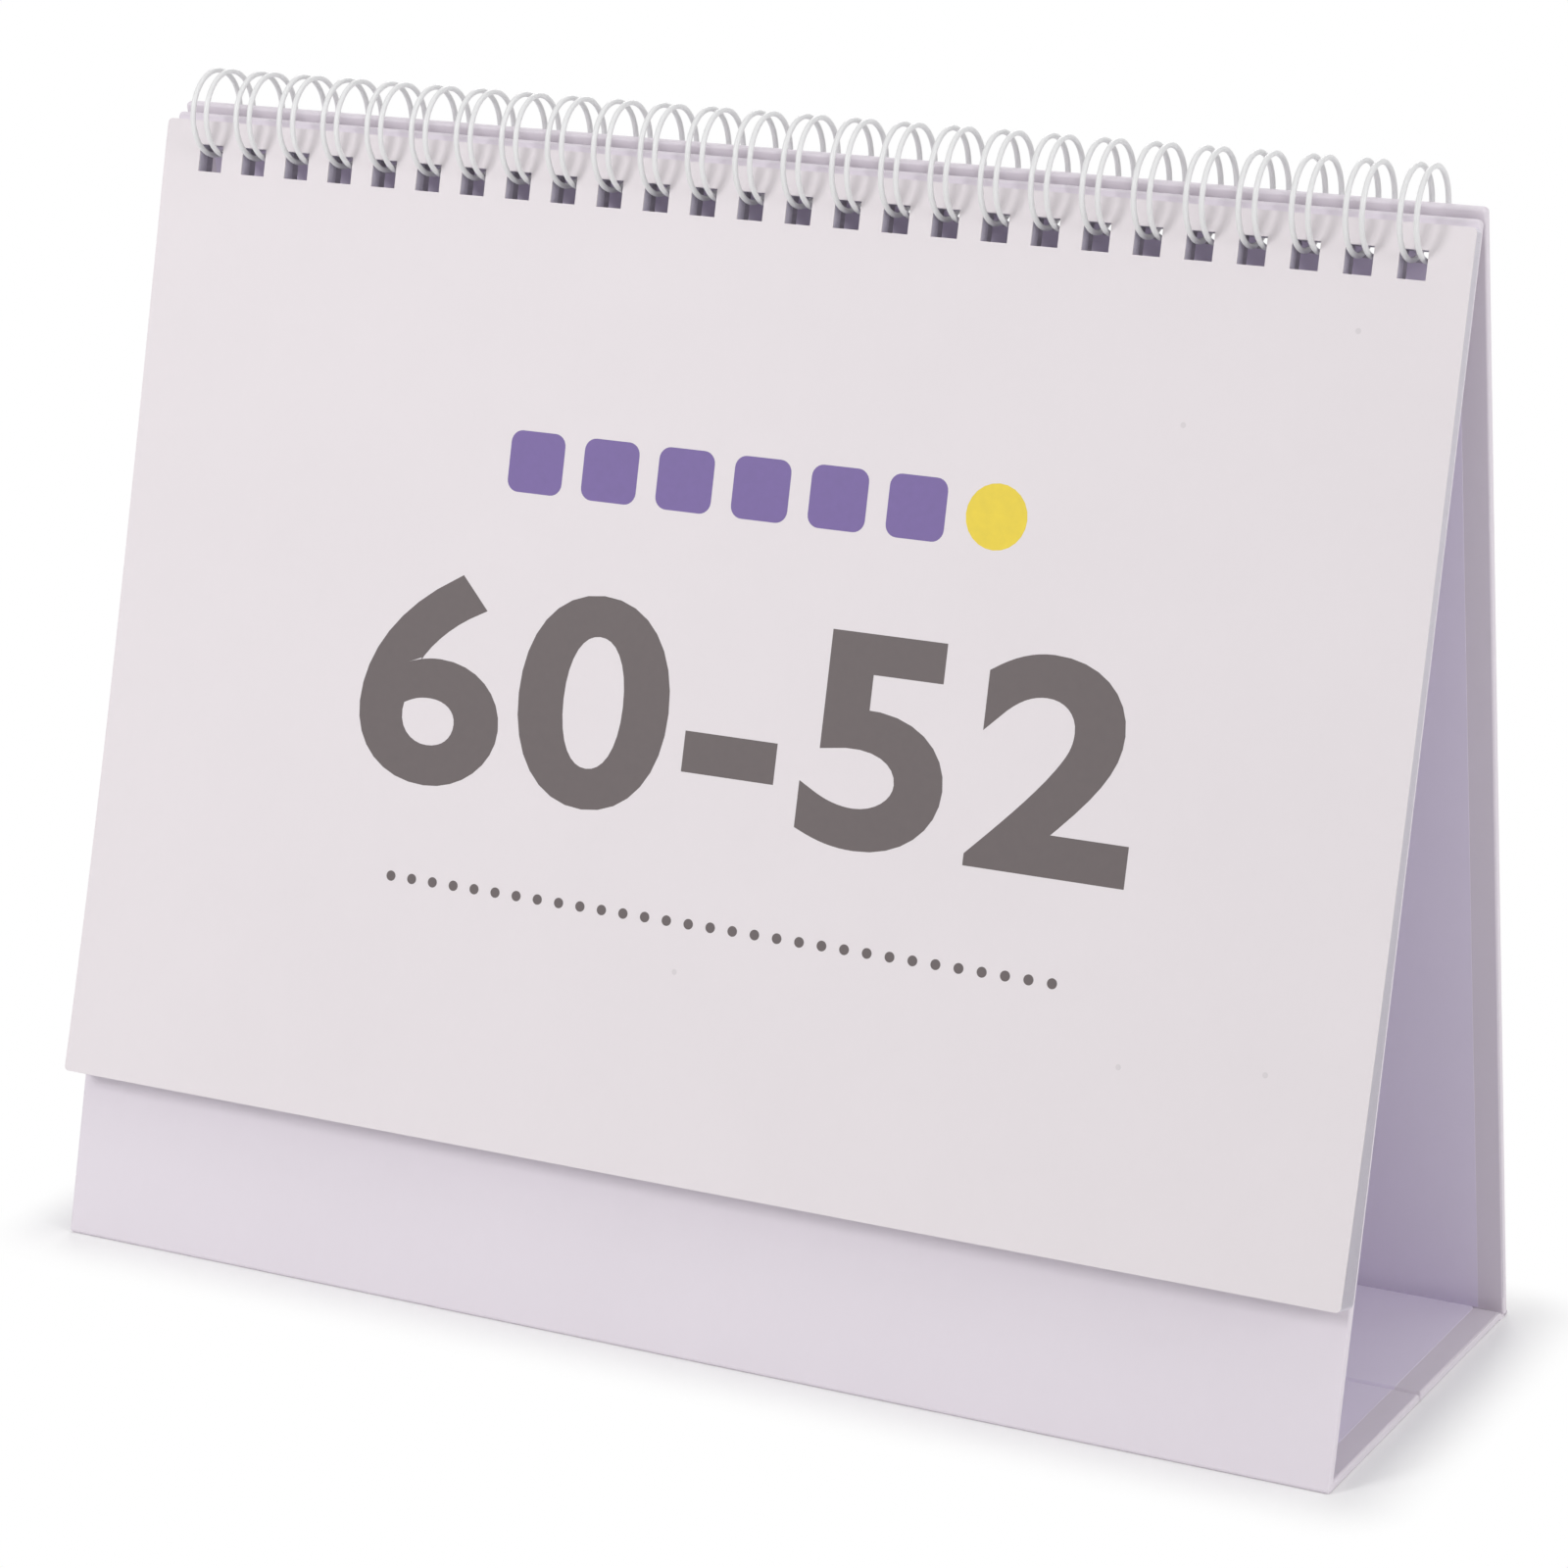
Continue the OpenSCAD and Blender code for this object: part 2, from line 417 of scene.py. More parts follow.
def wire_paint(name, colour):
    """Satin nylon coat with a slight unevenness"""
    paint = Paint(name)
    coat = paint.noise(scale=320.0, detail=3.0)
    paint.set(
        "Base Color", paint.mix(coat, opaque(colour, share=0.96), opaque(colour, share=1.02)))
    paint.uneven_roughness(coat, middle=0.34, span=0.14)
    paint.bump(coat, distance=0.02 * MM, strength=0.25)
    return paint.material


def ink_paint(name, colour):
    """Offset ink: a little uneven, with the paper's tooth"""
    paint = Paint(name)
    solid = paint.noise(scale=700.0, detail=3.0)
    tooth = paint.noise(scale=2600.0, detail=2.0)
    paint.set(
        "Base Color", paint.mix(solid, opaque(colour, share=0.92), opaque(colour, share=1.08)))
    paint.uneven_roughness(solid, middle=0.5, span=0.12)
    paint.bump(tooth, distance=0.02 * MM, strength=0.2)
    return paint.material


def paints():
    """The object's materials by name, made on first use"""
    makers = {
        "cover_card": lambda name: paper_paint(name, colours().cover, 0.55, flecks=0.16),
        "stand_paper": lambda name: paper_paint(name, colours().stand, 0.6),
        "lining_paper": lambda name: paper_paint(name, colours().lining, 0.68),
        # The leaves' darker cut edges are painted shade
        "leaf_stock": lambda name: paper_paint(name, colours().leaf, 0.7, edge_shade_share=0.82),
        # Painted shade on the leaves' walls in the punched holes
        "hole_edge": lambda name: paper_paint(name, colours().hole_edge, 0.8),
        "pulp_board": lambda name: board_paint(name, colours().board),
        "wire_coat": lambda name: wire_paint(name, colours().wire),
        "grey_ink": lambda name: ink_paint(name, colours().grey_ink),
        "purple_ink": lambda name: ink_paint(name, colours().purple_ink),
        "yellow_ink": lambda name: ink_paint(name, colours().yellow_ink),
    }
    return {name: bpy.data.materials.get(name) or make(name) for name, make in makers.items()}


def piece_from(mesh_builder, name, materials, body, slot, replaced=()):
    """Turns a bmesh into a shown piece, which rides on a body when that is one name"""
    bmesh.ops.recalc_face_normals(mesh_builder, faces=mesh_builder.faces)
    mesh = bpy.data.meshes.new(name)
    mesh_builder.to_mesh(mesh)
    mesh_builder.free()
    return shown(mesh, name, materials, body, slot, replaced)


def shown(mesh, name, materials, body, slot, replaced=()):
    """Links a mesh as a piece, with its materials and the nodes that it stands for. Its slot is
    not used.

    Its body is a name, to whose empty it is parented. Two names and two points are not used: the
    piece then stays where it is built.
    """
    if not mesh.materials:
        for material in materials:
            mesh.materials.append(paints()[material])
    piece = bpy.data.objects.new(name, mesh)
    bpy.context.scene.collection.objects.link(piece)
    if isinstance(body, str):
        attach(piece, body)
    else:
        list(body)
        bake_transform(piece)
    if replaced:
        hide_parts(*replaced)
    return piece


def loop_r():
    """Radius of a loop, to the middle of the wire"""
    low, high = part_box("twin_loop_wire")
    return (high.z - low.z - sizes().wire_d) / 2


def loop_places():
    """Distance of each double loop from the middle of the row"""
    low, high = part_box("twin_loop_wire")
    pitch = (high.x - low.x - sizes().pair_gap - sizes().wire_d) / (LOOP_COUNT - 1)
    return [(i - (LOOP_COUNT - 1) / 2) * pitch for i in range(LOOP_COUNT)]


class Place:
    """A flat panel's place: x along the wire, u along the panel, v into the stand"""

    def __init__(self, origin, along, inward):
        self.origin = Vector(origin)
        self.along = Vector(along)
        self.inward = Vector(inward)

    def at(self, x, u, v):
        return self.origin + Vector((x, 0, 0)) + self.along * u + self.inward * v


FRONT = Place(
    FRONT_FOLD, (0, math.sin(TILT), math.cos(TILT)), (0, math.cos(TILT), -math.sin(TILT)))
BACK = Place(
    REAR_FOLD, (0, -math.sin(TILT), math.cos(TILT)), (0, -math.cos(TILT), -math.sin(TILT)))
BASE_FRONT = Place(CREASE, FORWARD, (0, 0, 1))
BASE_REAR = Place(CREASE, BACKWARD, (0, 0, 1))


def hole_height(place):
    """Height of a board's row of holes, where the ring of wire crosses the board's middle"""
    offset = WIRE_AXIS - place.origin
    across = offset.dot(place.inward) - PANEL_T / 2
    sag = sizes().hole_sag if place is FRONT else 0.0
    return offset.dot(place.along) - math.sqrt(loop_r() ** 2 - across ** 2) - sag


def slab(
        place, low, high, v_low, v_high, width=STAND_W, hole_u=None, corner_r=0.0, bands=(),
        all_round=False):
    """A slab between two depths, with a row of square holes and rounded high corners.

    Bands are heights at which it may bend. With all_round its low corners are rounded too.
    A face's material index is 1 on the walls of the holes and 0 elsewhere.
    """
    half = sizes().hole / 2
    cuts_x = [-width / 2, width / 2]
    cuts_u = [low, high, *bands]
    if hole_u is not None:
        cuts_x += [x + side * half for x in loop_places() for side in (-1, 1)]
        cuts_u += [hole_u - half, hole_u + half]
    cuts_x.sort()
    cuts_u.sort()
    columns, rows = len(cuts_x) - 1, len(cuts_u) - 1
    hole_row = None if hole_u is None else cuts_u.index(hole_u - half)

    def inside(i, j):
        return 0 <= i < columns and 0 <= j < rows

    def solid(i, j):
        return inside(i, j) and not (j == hole_row and i % 2 == 1)

    builder = bmesh.new()
    grid = {
        (i, j, k): builder.verts.new(place.at(x, u, v))
        for i, x in enumerate(cuts_x) for j, u in enumerate(cuts_u)
        for k, v in enumerate((v_low, v_high))}
    for i in range(columns):
        for j in range(rows):
            if not solid(i, j):
                continue
            ring = ((i, j), (i + 1, j), (i + 1, j + 1), (i, j + 1))
            for k in (0, 1):
                builder.faces.new([grid[a, b, k] for a, b in ring])
            for side, (di, dj) in enumerate(((0, -1), (1, 0), (0, 1), (-1, 0))):
                if solid(i + di, j + dj):
                    continue
                (a, b), (c, d) = ring[side], ring[(side + 1) % 4]
                wall = builder.faces.new(
                    [grid[a, b, 0], grid[c, d, 0], grid[c, d, 1], grid[a, b, 1]])
                wall.material_index = 1 if inside(i + di, j + dj) else 0
    if corner_r > 0:
        corner_rows = (0, rows) if all_round else (rows,)
        edges = [
            builder.edges.get((grid[i, j, 0], grid[i, j, 1]))
            for i in (0, columns) for j in corner_rows]
        bmesh.ops.bevel(
            builder, geom=edges, offset=corner_r, segments=6, profile=0.5, affect="EDGES")
    return builder


def round_rim(builder, place, joined, papered):
    """Rounds the edges of a covered board.

    An end in joined runs on into a hinge. At an end in papered only the outside paper runs on.
    """
    near = 0.01 * MM
    nearly_square = 0.9

    def depth(vert):
        return (vert.co - place.origin).dot(place.inward)

    def at_end(edge, end):
        return all(
            abs((vert.co - place.origin).dot(place.along) - end) < near for vert in edge.verts)

    def on_rim(edge):
        if len(edge.link_faces) != 2 or any(face.material_index for face in edge.link_faces):
            return False
        flat = [abs(face.normal.dot(place.inward)) > nearly_square for face in edge.link_faces]
        if flat[0] == flat[1] or any(at_end(edge, end) for end in joined):
            return False
        outside = all(depth(vert) < near for vert in edge.verts)
        return not (outside and any(at_end(edge, end) for end in papered))

    bmesh.ops.recalc_face_normals(builder, faces=builder.faces)
    builder.normal_update()
    edges = [edge for edge in builder.edges if on_rim(edge)]
    bmesh.ops.bevel(
        builder, geom=edges, offset=sizes().rim_r, segments=4, profile=0.5, affect="EDGES")


def smooth_faces(piece):
    """Smooth shading that leaves large flat faces flat"""
    mesh = piece.data
    mesh.shade_smooth()
    mesh.set_sharp_from_angle(angle=math.radians(40))
    weights = piece.modifiers.new("Flat faces first", "WEIGHTED_NORMAL")
    weights.keep_sharp = True
    weights.weight = 100
    graph = bpy.context.evaluated_depsgraph_get()
    finished = bpy.data.meshes.new_from_object(piece.evaluated_get(graph))
    piece.modifiers.remove(weights)
    finished.name = mesh.name
    piece.data = finished
    bpy.data.meshes.remove(mesh)


def covered_board(name, place, low, high, body, joined=(), papered=(), holes=False):
    """One covered panel: rounded rim, plain ends at its hinges and punched holes"""
    hole_u = hole_height(place) if holes else None
    corner_r = sizes().board_r if holes else 0.0
    builder = slab(place, low, high, 0, PANEL_T, hole_u=hole_u, corner_r=corner_r)
    round_rim(builder, place, joined, papered)
    piece = piece_from(
        builder, name + "_cover", ("stand_paper", "pulp_board"), body, "wrap_paper",
        (name + "_wrap",))
    smooth_faces(piece)


def lining(name, place, low, high, body, holes=False):
    """Lining paper pasted over the turn-ins, with its edge standing a little proud"""
    hole_u = hole_height(place) if holes else None
    builder = slab(
        place, low, high, PANEL_T - sizes().lining_lift,
        PANEL_T + sizes().lining_lift, STAND_W - 2 * TURN_IN, hole_u, sizes().board_r)
    piece_from(
        builder, name + "_lining", ("lining_paper", "pulp_board"), body, "liner_paper",
        (name + "_liner",))


def loft(section, half_width, rim=0.0, steps=4):
    """A closed bar along the wire's direction; section(inset) gives its outline in (y, z).

    A rim rounds the bar's long edges where it ends.
    """
    places = [(half_width, 0.0)]
    if rim > 0:
        turns = [math.pi / 2 * i / steps for i in range(steps, -1, -1)]
        places = [
            (half_width - rim + rim * math.cos(turn), rim - rim * math.sin(turn))
            for turn in turns]
    places = [(-x, inset) for x, inset in reversed(places)] + places
    builder = bmesh.new()
    rings = [
        [builder.verts.new((x, y, z)) for y, z in section(inset)] for x, inset in places]
    for end in (rings[0], rings[-1]):
        builder.faces.new(end)
    count = len(rings[0])
    for first, second in zip(rings, rings[1:]):
        for i in range(count):
            j = (i + 1) % count
            builder.faces.new((first[i], first[j], second[j], second[i]))
    return builder


def corner_section(corner, first, second, reaches, top, bottom=0.0, radius=0.6 * MM, steps=8):
    """Outlines of board or paper bent round a corner line, between two depths from the outside"""
    least_bend = 0.001 * MM
    first, second = Vector(first).normalized(), Vector(second).normalized()
    half = first.angle(second) / 2
    middle = (first + second).normalized()
    centre = corner + middle * (radius / math.sin(half))
    start = (corner + first * (radius / math.tan(half)) - centre).normalized()
    end = (corner + second * (radius / math.tan(half)) - centre).normalized()

    def path(depth):
        points = [corner + first * reaches[0] - start * depth]
        bend = max(radius - depth, least_bend)
        pivot = centre if depth < radius else corner + middle * (depth / math.sin(half))
        for i in range(steps + 1):
            points.append(pivot + start.slerp(end, i / steps) * bend)
        points.append(corner + second * reaches[1] - end * depth)
        return points

    def section(inset):
        points = path(bottom + inset) + list(reversed(path(top - inset)))
        return [(point.y, point.z) for point in points]

    return section


def wire_path():
    """Points along the one wire: up each loop, round its fingertip, back, and on by a root link.

    The seam is open by twice the small angle of a 7-24-25 triangle, as in the solid.
    """
    radius, gap, link = loop_r(), sizes().pair_gap / 2, sizes().link_r
    tip, root = 0.0, -2 * math.atan2(7, 24)
    turn = math.tau + root - tip
    steps, bend_steps = 44, 6
    points = []

    def at(x, angle, along=0.0):
        y = radius * math.cos(angle) - along * math.sin(angle)
        z = radius * math.sin(angle) + along * math.cos(angle)
        points.append(WIRE_AXIS + Vector((x, y, z)))

    places = loop_places()
    for n, x in enumerate(places):
        for i in range(steps + 1):
            at(x - gap, root - turn * i / steps)
        for i in range(1, 2 * bend_steps):
            bend = math.pi * i / (2 * bend_steps)
            at(x - gap * math.cos(bend), tip, -gap * math.sin(bend))
        for i in range(steps + 1):
            at(x + gap, tip + turn * i / steps)
        if n == len(places) - 1:
            continue
        for side, from_x in ((1, x + gap + link), (-1, places[n + 1] - gap - link)):
            for i in range(1, bend_steps + 1):
                share = i if side > 0 else bend_steps + 1 - i
                bend = math.pi / 2 * share / bend_steps
                at(from_x - side * link * math.cos(bend), root, link * math.sin(bend))
    return points


def tube_tree(name, sides, material):
    """Node tree that sweeps a round wire along a curve, and the identifier of its diameter"""
    group = bpy.data.node_groups.new(name, "GeometryNodeTree")
    socket = group.interface.new_socket
    socket("Geometry", in_out="INPUT", socket_type="NodeSocketGeometry")
    diameter = socket("Diameter", in_out="INPUT", socket_type="NodeSocketFloat")
    socket("Geometry", in_out="OUTPUT", socket_type="NodeSocketGeometry")
    nodes = Nodes(group)
    start = nodes.add("NodeGroupInput")
    radius = Value(nodes, start.outputs[1]) * 0.5
    circle = nodes.add(
        "GeometryNodeCurvePrimitiveCircle", {}, {"Resolution": sides, "Radius": radius})
    sweep = nodes.add(
        "GeometryNodeCurveToMesh", {},
        {"Curve": start.outputs[0], "Profile Curve": circle.outputs[0], "Fill Caps": True})
    smooth = nodes.add("GeometryNodeSetShadeSmooth", {}, {0: sweep.outputs[0]})
    realized = nodes.add("GeometryNodeRealizeInstances", {}, {0: smooth.outputs[0]})
    painted = nodes.add(
        "GeometryNodeSetMaterial", {}, {0: realized.outputs[0], "Material": material})
    nodes.add("NodeGroupOutput", {}, {0: painted.outputs[0]})
    return group, diameter.identifier


def evaluated_mesh(source, name):
    """The mesh that an object's modifiers make; the object goes"""
    graph = bpy.context.evaluated_depsgraph_get()
    mesh = bpy.data.meshes.new_from_object(source.evaluated_get(graph))
    mesh.name = name
    bpy.data.objects.remove(source)
    return mesh


def wire_mesh():
    """The round wire along its path, as a plain mesh"""
    curve = bpy.data.curves.new("wire_path", "CURVE")
    curve.dimensions = "3D"
    path = wire_path()
    spline = curve.splines.new("POLY")
    spline.points.add(len(path) - 1)
    for point, place in zip(spline.points, path):
        point.co = (*place, 1)
    source = bpy.data.objects.new("wire_path", curve)
    bpy.context.scene.collection.objects.link(source)
    tree, diameter = tube_tree("Round wire", 12, paints()["wire_coat"])
    sweep = source.modifiers.new("Round wire", "NODES")
    sweep.node_group = tree
    sweep[diameter] = sizes().wire_d
    return evaluated_mesh(source, "round_wire")


def sheet_face(node):
    """The front face of a sheet, from its solid: v is negative outside the sheet"""
    solid = frame["nodes"][node]
    turn = solid.matrix_world
    faces = [
        (face.area, turn.to_3x3() @ face.normal, turn @ face.center)
        for face in solid.data.polygons]
    front = [face for face in faces if face[1].y < -0.5]
    normal, centre = max(front, key=lambda face: face[0])[1:]
    origin = WIRE_AXIS + normal * (centre - WIRE_AXIS).dot(normal)
    return Place(origin, normal.cross(Vector((1, 0, 0))), -normal)


class CurledPlace(Place):
    """A sheet's face that lies close on the pad and curls off it towards its lower edge"""

    def __init__(self, face, start, end, lift):
        super().__init__(face.origin, face.along, face.inward)
        self.start = start
        self.end = end
        self.lift = lift

    def at(self, x, u, v):
        share = min(max((u - self.start) / (self.end - self.start), 0.0), 1.0)
        return super().at(x, u, v + self.lift * (share - share ** 3))


class SheetShape:
    """A sheet's front face as it hangs, measured on its flat solid"""

    def __init__(self, node):
        flat = sheet_face(node)
        solid = frame["nodes"][node]
        offsets = [solid.matrix_world @ vert.co - flat.origin for vert in solid.data.vertices]
        heights = [offset.dot(flat.along) for offset in offsets]
        self.low, self.high = min(heights), max(heights)
        self.thickness = max(offset.dot(flat.inward) for offset in offsets)
        # Between the rounded corners, only the holes have vertices
        margin = 2 * sizes().sheet_r
        inner = [u for u in heights if self.low + margin < u < self.high - margin]
        self.hole_u = (min(inner) + max(inner)) / 2
        splay = flat.inward.angle(FRONT.inward)
        length = self.hole_u - self.low
        self.place = CurledPlace(flat, self.hole_u, self.low, length * math.sin(splay))
        below = length - sizes().hole / 2
        count = round(below / sizes().band)
        self.bands = [self.low + below * i / count for i in range(1, count)]


INKS = ("grey_ink", "purple_ink", "yellow_ink")


def lettering(text, weight):
    """Corners and faces of a line of figures, one unit high and centred, and its width"""
    curve = bpy.data.curves.new(text, "FONT")
    curve.body = text
    curve.offset = weight
    curve.space_character = 1.08
    curve.resolution_u = 8
    source = bpy.data.objects.new(text, curve)
    bpy.context.scene.collection.objects.link(source)
    mesh = evaluated_mesh(source, text)
    bpy.data.curves.remove(curve)
    corners = [vert.co.copy() for vert in mesh.vertices]
    faces = [tuple(face.vertices) for face in mesh.polygons]
    bpy.data.meshes.remove(mesh)
    low = Vector([min(corner[i] for corner in corners) for i in range(3)])
    high = Vector([max(corner[i] for corner in corners) for i in range(3)])
    middle, height = (low + high) / 2, high.y - low.y
    return [(corner - middle) / height for corner in corners], faces, (high.x - low.x) / height


class Print:
    """Ink on the face of one sheet, cut at the heights where the sheet bends"""

    def __init__(self, shape):
        self.shape = shape
        self.builder = bmesh.new()

    def face(self, points, ink):
        verts = [self.builder.verts.new((x, u, -sizes().print_lift)) for x, u in points]
        self.builder.faces.new(verts).material_index = INKS.index(ink)

    def block(self, x, u, width, height, radius, ink):
        """A filled rectangle with round corners"""
        points = []
        turns = 6 if radius > 0 else 0
        for quarter, (sx, su) in enumerate(((1, 1), (-1, 1), (-1, -1), (1, -1))):
            for i in range(turns + 1):
                angle = math.pi / 2 * (quarter + (i / turns if turns else 0.5))
                points.append((
                    x + sx * (width / 2 - radius) + radius * math.cos(angle),
                    u + su * (height / 2 - radius) + radius * math.sin(angle)))
        self.face(points, ink)

    def disc(self, x, u, diameter, ink):
        self.block(x, u, diameter, diameter, diameter / 2, ink)

    def figures(self, letters, x, u, height, ink, stretch=1.0):
        """A line of figures from lettering, its width times stretch"""
        corners, faces, _ = letters
        for face in faces:
            self.face(
                [(x + corners[i].x * height * stretch, u + corners[i].y * height) for i in face],
                ink)

    def finish(self, name, body, slot):
        """Bends the print with its sheet and shows it"""
        near = 0.0001 * MM
        mesh = bpy.data.meshes.new(name)
        bmesh.ops.remove_doubles(self.builder, verts=self.builder.verts, dist=near)
        for band in self.shape.bands:
            parts = [*self.builder.verts, *self.builder.edges, *self.builder.faces]
            bmesh.ops.bisect_plane(
                self.builder, geom=parts, dist=near, plane_co=(0, band, 0), plane_no=(0, 1, 0))
        for vert in self.builder.verts:
            vert.co = self.shape.place.at(*vert.co)
        self.builder.to_mesh(mesh)
        self.builder.free()
        shown(mesh, name, INKS, body, slot)


class CALENDAR_OT_sheets(bpy.types.Operator):
    """Paper of the cover and the leaves, and the greyboard inside the panels"""

    bl_idname = "calendar.sheets"
    bl_label = "Sheets and cores"

    def execute(self, context):
        self.sheet("cover_sheet", "cover", ("cover_card", "cover_card"), "cover_paper")
        for leaf in LEAVES:
            # The leaves' hole walls take the painted shade colour
            self.sheet(leaf, leaf, ("leaf_stock", "hole_edge"), "leaf_paper")
        for name, solid in frame["nodes"].items():
            if name.endswith("_core"):
                for socket in solid.material_slots:
                    socket.material = paints()["pulp_board"]
        return {"FINISHED"}

    def sheet(self, node, body, materials, slot):
        shape = SheetShape(node)
        builder = slab(
            shape.place, shape.low, shape.high, 0, shape.thickness, SHEET_W, shape.hole_u,
            sizes().sheet_r, shape.bands, all_round=True)
        piece = piece_from(builder, body + "_paper", materials, body, slot, (node,))
        smooth_faces(piece)


class CALENDAR_OT_boards(bpy.types.Operator):
    """Covered boards of the stand, with rounded rims and punched holes"""

    bl_idname = "calendar.boards"
    bl_label = "Covered boards"

    def execute(self, context):
        front_half = CREASE.y - FRONT_FOLD.y - CORNER_SETBACK
        rear_half = REAR_FOLD.y - CREASE.y - REAR_SETBACK
        covered_board(
            "front", FRONT, CORNER_SETBACK, FRONT_LEN, "front_board",
            joined=(CORNER_SETBACK,), holes=True)
        lining("front", FRONT, CORNER_SETBACK, FRONT_LEN - TURN_IN, "front_board", holes=True)
        covered_board(
            "back", BACK, BACK_START, BACK_LEN, "back_board", papered=(BACK_START,), holes=True)
        lining("back", BACK, BACK_START, BACK_LEN - TURN_IN, "back_board", holes=True)
        covered_board(
            "base_front", BASE_FRONT, CREASE_SETBACK, front_half, "base_front",
            joined=(CREASE_SETBACK, front_half))
        lining("base_front", BASE_FRONT, CREASE_SETBACK, front_half, "base_front")
        covered_board(
            "base_rear", BASE_REAR, CREASE_SETBACK, rear_half, "base_rear",
            joined=(CREASE_SETBACK,), papered=(rear_half,))
        lining("base_rear", BASE_REAR, CREASE_SETBACK, rear_half, "base_rear")
        return {"FINISHED"}


class CALENDAR_OT_hinges(bpy.types.Operator):
    """Paper that bends at the stand's corners and at the crease of its base"""

    bl_idname = "calendar.hinges"
    bl_label = "Paper hinges"

    def execute(self, context):
        self.front_corner()
        self.rear_corner()
        self.crease()
        return {"FINISHED"}

    def front_corner(self):
        half, lift, bend = STAND_W / 2, sizes().lining_lift, 3 * MM
        fold = (
            "front_board", "base_front", FRONT_FOLD + FRONT.along * bend,
            FRONT_FOLD + BACKWARD * bend)
        reaches = (CORNER_SETBACK, CORNER_SETBACK)
        corner = corner_section(FRONT_FOLD, FRONT.along, BACKWARD, reaches, PANEL_T)
        piece_from(
            loft(corner, half, sizes().rim_r), "front_hinge", ("stand_paper",), fold,
            "wrap_paper")
        corner = corner_section(
            FRONT_FOLD, FRONT.along, BACKWARD, reaches, PANEL_T + lift, PANEL_T - lift)
        piece_from(
            loft(corner, half - TURN_IN), "front_hinge_lining", ("lining_paper",), fold,
            "liner_paper")

    def rear_corner(self):
        half, lift, lip_r = STAND_W / 2, sizes().lining_lift, 0.45 * MM
        reaches = (BACK_START, REAR_GAP - sizes().seam)
        lip = corner_section(REAR_FOLD, BACK.along, FORWARD, reaches, PAPER_T, radius=lip_r)
        piece_from(loft(lip, half), "rear_lip", ("stand_paper",), "back_board", "wrap_paper")
        tab = slab(
            BASE_REAR, REAR_FOLD.y - CREASE.y - REAR_SETBACK,
            REAR_FOLD.y - CREASE.y - REAR_GAP - sizes().seam, 0, PAPER_T)
        piece_from(tab, "rear_tab", ("stand_paper",), "base_rear", "wrap_paper")
        rows = (
            ("rear_fold", 0.0, half, "stand_paper", "wrap_paper"),
            ("rear_fold_lining", lift, half - TURN_IN, "lining_paper", "liner_paper"))
        for name, raised, width, paper, slot in rows:
            wedge = self.wedge(PAPER_T + raised, PANEL_T + raised)
            fold = piece_from(loft(wedge, width), name, (paper,), "base_rear", slot)
            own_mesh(fold)

    def wedge(self, bottom, top):
        """Outlines of the paper between the base and the back board, in one shape; the real paper
        crumples there when the stand folds
        """
        clearance = 0.1 * MM
        start = REAR_FOLD.y - REAR_SETBACK
        end = REAR_FOLD.y - REAR_GAP - sizes().seam
        groove = top - sizes().corner_dip
        foot = BACK_START * math.cos(TILT) - PANEL_T * math.sin(TILT)

        def inner(z):
            return REAR_FOLD.y - (PANEL_T + z * math.sin(TILT)) / math.cos(TILT) - clearance

        outline = [
            (start, bottom), (start, top), (start + sizes().corner_dip, groove),
            (inner(groove), groove), (inner(foot), foot), (end, bottom)]
        return lambda inset: outline

    def crease(self):
        half, bend = STAND_W / 2, 0.8 * MM
        across = (
            "base_front", "base_rear", CREASE + FORWARD * bend, CREASE + BACKWARD * bend)
        valley = self.valley(0.0, PANEL_T)
        piece_from(
            loft(valley, half, sizes().rim_r), "crease_paper", ("stand_paper",), across,
            "wrap_paper")
        valley = self.valley(
            PANEL_T - sizes().crease_dip - PAPER_T, PANEL_T + sizes().lining_lift)
        piece_from(
            loft(valley, half - TURN_IN), "crease_lining", ("lining_paper",), across,
            "liner_paper")

    def valley(self, bottom, top, steps=20):
        """Outlines of the base over its crease, hollowed along the middle"""

        def section(inset):
            upper, lower = [], []
            for i in range(steps + 1):
                t = 2 * i / steps - 1
                y = CREASE.y + t * CREASE_SETBACK
                slope = min(abs(t) / sizes().crease_share, 1.0)
                dip = sizes().crease_dip * (0.5 + 0.5 * math.cos(math.pi * slope))
                upper.append((y, top - dip - inset))
                lower.append((y, bottom + inset))
            return upper + lower[::-1]

        return section


class CALENDAR_OT_wire(bpy.types.Operator):
    """The twin-loop wire: one round wire with its fingertips and root links"""

    bl_idname = "calendar.wire"
    bl_label = "Twin-loop wire"

    def execute(self, context):
        shown(
            wire_mesh(), "round_wire", ("wire_coat",), "front_board", "coated_wire",
            ("twin_loop_wire",))
        return {"FINISHED"}


class CALENDAR_OT_cover_print(bpy.types.Operator):
    """Print of the cover: a week of blocks, a pair of plain numbers and a month of dots"""

    bl_idname = "calendar.cover_print"
    bl_label = "Cover print"

    def execute(self, context):
        ink = Print(SheetShape("cover_sheet"))
        middle = 3 * MM
        self.week(ink, middle)
        height, width = 35 * MM, 138 * MM
        figures = lettering("60-52", 0.025)
        ink.figures(
            figures, middle, -89 * MM, height, "grey_ink", stretch=width / height / figures[2])
        dots, dot, pitch = 31, 1.7 * MM, 3.95 * MM
        for day in range(dots):
            ink.disc(middle + (day - (dots - 1) / 2) * pitch, -122 * MM, dot, "grey_ink")
        ink.finish("cover_print", "cover", "cover_paper")
        return {"FINISHED"}

    def week(self, ink, middle):
        """Six blocks and a disc in a row"""
        u, pitch = -52 * MM, 13.6 * MM
        side, radius, disc = 10 * MM, 2 * MM, 10.4 * MM
        for day in range(6):
            ink.block(middle + (day - 3) * pitch, u, side, side, radius, "purple_ink")
        ink.disc(middle + 3 * pitch, u, disc, "yellow_ink")


